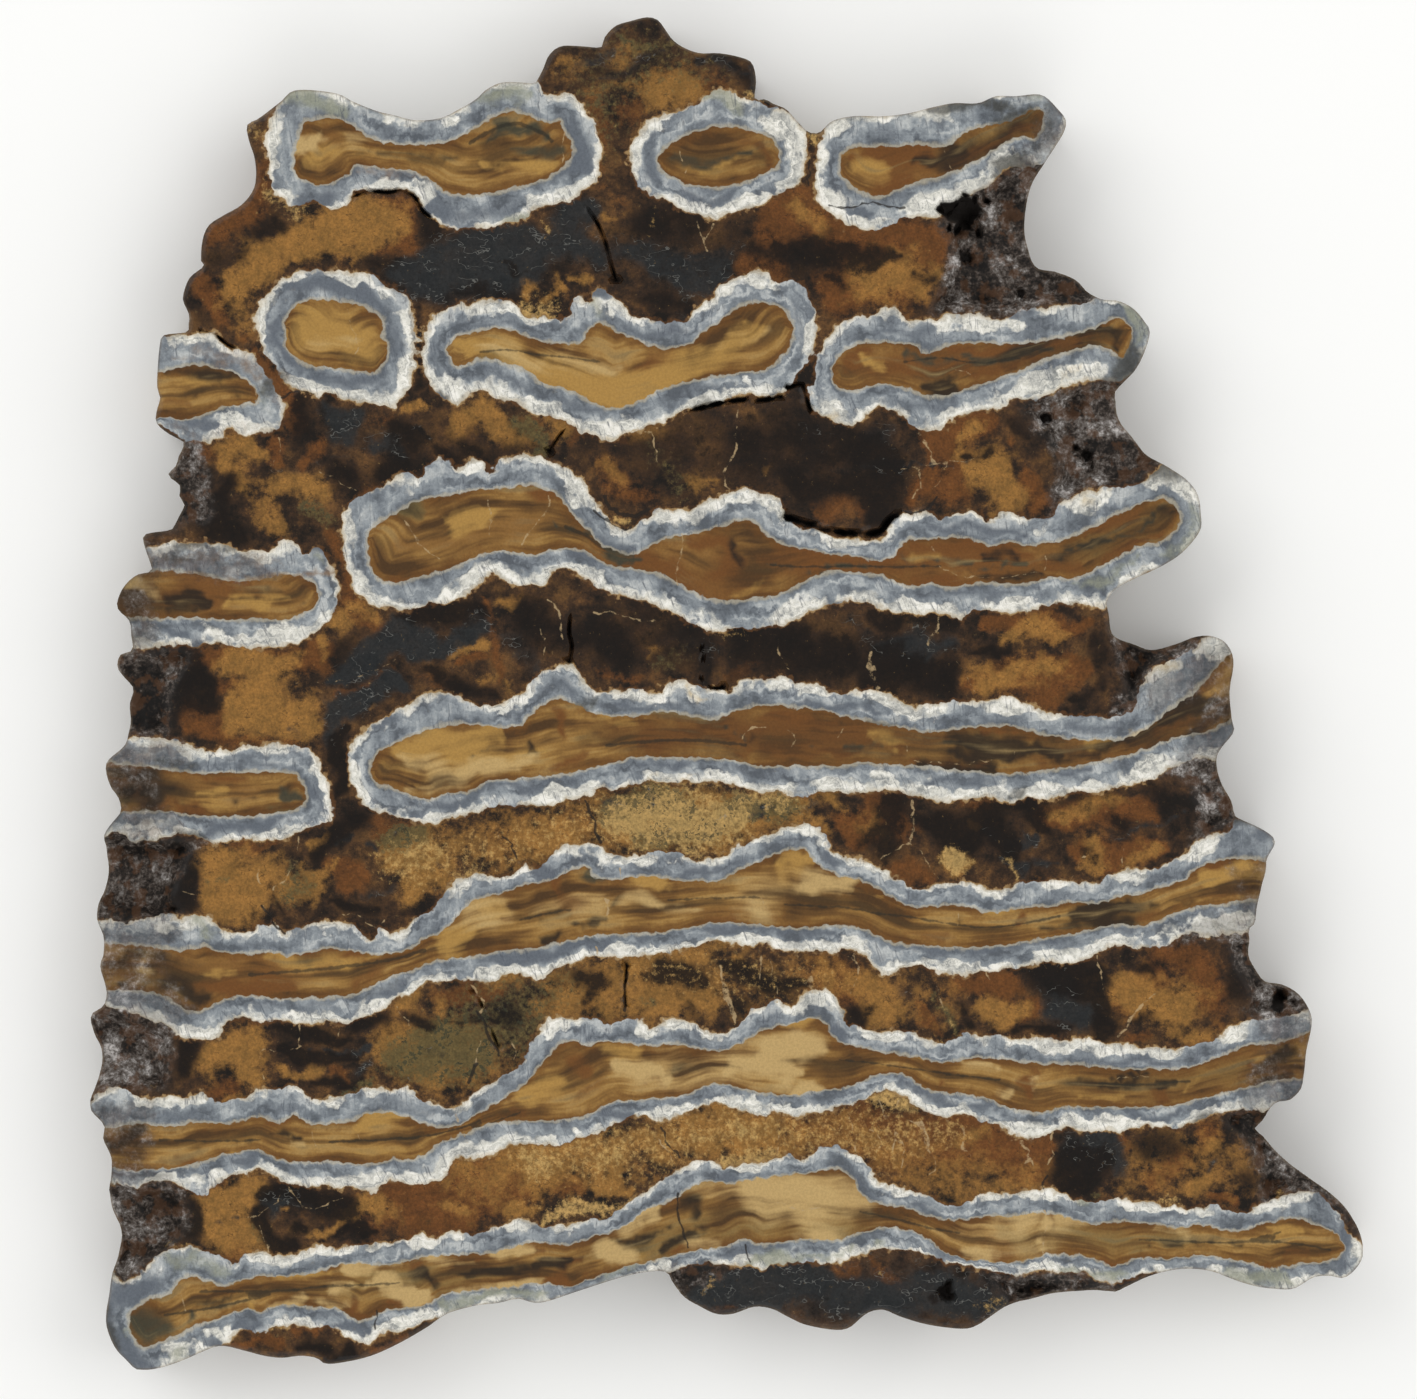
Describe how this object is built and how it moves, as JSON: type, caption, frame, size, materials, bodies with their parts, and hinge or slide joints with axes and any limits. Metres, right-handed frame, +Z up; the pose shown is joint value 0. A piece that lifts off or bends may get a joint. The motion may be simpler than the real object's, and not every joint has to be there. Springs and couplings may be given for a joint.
{
  "type": "woolly mammoth tooth slice",
  "caption": "Flat polished slice of a fossil mammoth molar, with wavy enamel plates in cement and a natural ribbed edge, lying on its sawn face.",
  "frame": {"origin": "middle of the slice's bounding box on the surface it lies on", "axes": "+Z up out of the polished face, +Y towards the narrow end with the top lobe, +X to the right when looking down on the polished face"},
  "size_m": [0.085, 0.0904, 0.0065],
  "materials": {
    "fossil_tooth": "polished face, natural worn edge"
  },
  "bodies": {
    "root": {"tooth_slice": "fossil_tooth"}
  },
  "joints": []
}
